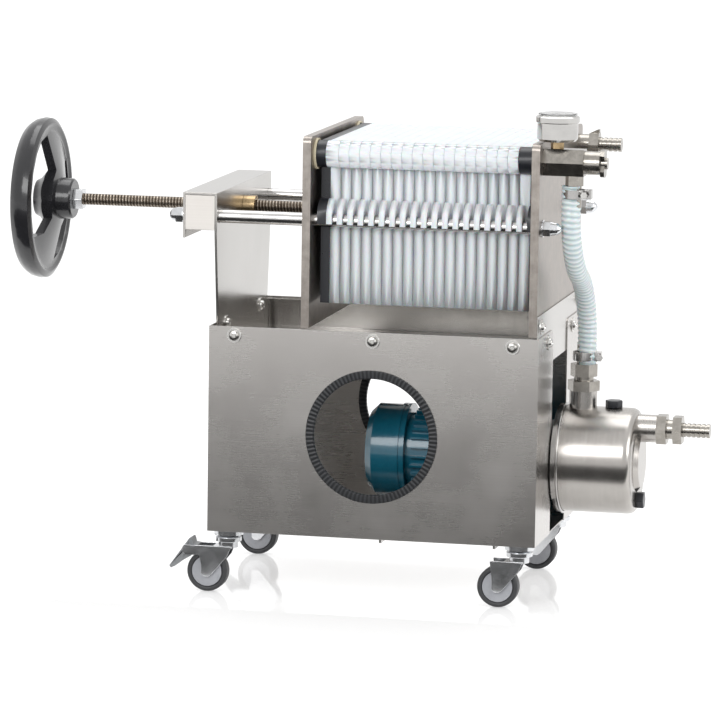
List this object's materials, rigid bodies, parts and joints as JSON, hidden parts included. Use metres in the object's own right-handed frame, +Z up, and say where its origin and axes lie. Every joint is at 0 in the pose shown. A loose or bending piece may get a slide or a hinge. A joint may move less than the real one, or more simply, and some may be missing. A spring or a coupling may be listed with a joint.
{
  "type": "plate filter press",
  "caption": "Plate filter press for wine or oil: a steel cabinet on casters with a built-in pump, clamped filter plates, a screw with a handwheel and a pressure gauge.",
  "frame": {"origin": "centre of the overall box, on the ground under the machine", "axes": "+X along the machine towards the pump, +Y towards the rear, +Z up"},
  "size_m": [0.8606, 0.305, 0.5954],
  "materials": {
    "sheet_steel": "brushed stainless sheet",
    "plate_steel": "cut stainless plate",
    "polished_steel": "polished",
    "zinc_steel": "zinc plated",
    "pump_steel": "satin pressed stainless",
    "bronze": "machined",
    "nickel": "nickel plated",
    "cast_grey": "as cast",
    "black_rubber": "matt",
    "grey_rubber": "matt",
    "cream_rubber": "matt",
    "black_plastic": "satin",
    "white_plastic": "satin",
    "filter_paper": "soft card",
    "teal_paint": "gloss paint",
    "gauge_case": "polished case with a glass front",
    "clear_hose": "clear with a white spiral",
    "grey_plastic": "moulded",
    "pedal_grey": "moulded"
  },
  "bodies": {
    "frame": {"base_floor": "sheet_steel", "caster_stems": "zinc_steel", "drip_tray": "sheet_steel", "end_plate_fixed": "black_plastic", "fan_cover": "teal_paint", "filter_plates": "white_plastic", "filter_sheets": "filter_paper", "fixed_head": "plate_steel", "front_hole_trim": "black_rubber", "front_panel": "sheet_steel", "front_rod": "polished_steel", "gauge_stem": "bronze", "hose": "clear_hose", "hose_clamps": "polished_steel", "motor_channel": "sheet_steel", "motor_housing": "teal_paint", "outlet_fitting": "nickel", "pressure_gauge": "gauge_case", "pump_casing": "pump_steel", "pump_clamp_ring": "polished_steel", "pump_inlet_union": "nickel", "pump_lantern": "cast_grey", "pump_outlet_union": "nickel", "pump_plugs": "black_plastic", "rear_hole_trim": "black_rubber", "rear_panel": "sheet_steel", "rear_rod": "polished_steel", "rod_nuts": "zinc_steel", "spindle_nut": "bronze", "tap_body": "nickel", "upright_beam": "sheet_steel"},
    "press": {"pressure_plate": "plate_steel", "end_plate_moving": "black_plastic", "thrust_cup": "plate_steel", "port_gaskets": "cream_rubber"},
    "screw": {"spindle": "polished_steel", "handwheel": "black_plastic", "handwheel_nut": "zinc_steel"},
    "knob": {"tap_knob": "nickel"},
    "swivel_front_left": {"caster_fork_front_left": "zinc_steel"},
    "wheel_front_left": {"caster_hub_front_left": "grey_plastic", "caster_tyre_front_left": "grey_rubber"},
    "swivel_rear_left": {"caster_fork_rear_left": "zinc_steel"},
    "wheel_rear_left": {"caster_hub_rear_left": "grey_plastic", "caster_tyre_rear_left": "grey_rubber"},
    "swivel_front_right": {"caster_fork_front_right": "zinc_steel"},
    "wheel_front_right": {"caster_hub_front_right": "grey_plastic", "caster_tyre_front_right": "grey_rubber"},
    "swivel_rear_right": {"caster_fork_rear_right": "zinc_steel"},
    "wheel_rear_right": {"caster_hub_rear_right": "grey_plastic", "caster_tyre_rear_right": "grey_rubber"},
    "pedal_front_left": {"brake_pedal_front_left": "pedal_grey"},
    "pedal_rear_left": {"brake_pedal_rear_left": "pedal_grey"}
  },
  "joints": [
    {"name": "press_slide", "type": "slide", "parent": "frame", "child": "press", "axis": [1, 0, 0], "range_m": [-0.0625, 0]},
    {"name": "spindle_turn", "type": "hinge", "parent": "press", "child": "screw", "pos_m": [-0.2593, 0, 0.46], "axis": [1, 0, 0], "range_deg": [-5580, 0]},
    {"name": "tap_turn", "type": "hinge", "parent": "frame", "child": "knob", "pos_m": [0.3127, -0.117, 0.5394], "axis": [1, 0, 0], "range_deg": [0, 720]},
    {"name": "swivel_front_left", "type": "hinge", "parent": "frame", "child": "swivel_front_left", "pos_m": [-0.1397, -0.13, 0.06], "axis": [0, 0, 1], "continuous": true},
    {"name": "roll_front_left", "type": "hinge", "parent": "swivel_front_left", "child": "wheel_front_left", "pos_m": [-0.1647, -0.13, 0.025], "axis": [0, 1, 0], "continuous": true},
    {"name": "pedal_rock_front_left", "type": "hinge", "parent": "swivel_front_left", "child": "pedal_front_left", "pos_m": [-0.1887, -0.13, 0.051], "axis": [0, 1, 0], "range_deg": [-8, 8]},
    {"name": "swivel_rear_left", "type": "hinge", "parent": "frame", "child": "swivel_rear_left", "pos_m": [-0.1397, 0.13, 0.06], "axis": [0, 0, 1], "continuous": true},
    {"name": "roll_rear_left", "type": "hinge", "parent": "swivel_rear_left", "child": "wheel_rear_left", "pos_m": [-0.1647, 0.13, 0.025], "axis": [0, 1, 0], "continuous": true},
    {"name": "pedal_rock_rear_left", "type": "hinge", "parent": "swivel_rear_left", "child": "pedal_rear_left", "pos_m": [-0.1887, 0.13, 0.051], "axis": [0, 1, 0], "range_deg": [-8, 8]},
    {"name": "swivel_front_right", "type": "hinge", "parent": "frame", "child": "swivel_front_right", "pos_m": [0.2211, -0.13, 0.06], "axis": [0, 0, 1], "continuous": true},
    {"name": "roll_front_right", "type": "hinge", "parent": "swivel_front_right", "child": "wheel_front_right", "pos_m": [0.1961, -0.13, 0.025], "axis": [0, 1, 0], "continuous": true},
    {"name": "swivel_rear_right", "type": "hinge", "parent": "frame", "child": "swivel_rear_right", "pos_m": [0.2211, 0.13, 0.06], "axis": [0, 0, 1], "continuous": true},
    {"name": "roll_rear_right", "type": "hinge", "parent": "swivel_rear_right", "child": "wheel_rear_right", "pos_m": [0.1961, 0.13, 0.025], "axis": [0, 1, 0], "continuous": true}
  ],
  "couplings": [
    {"joint": "press_slide", "follows": "spindle_turn", "m_per_rad": 0.00063662}
  ]
}
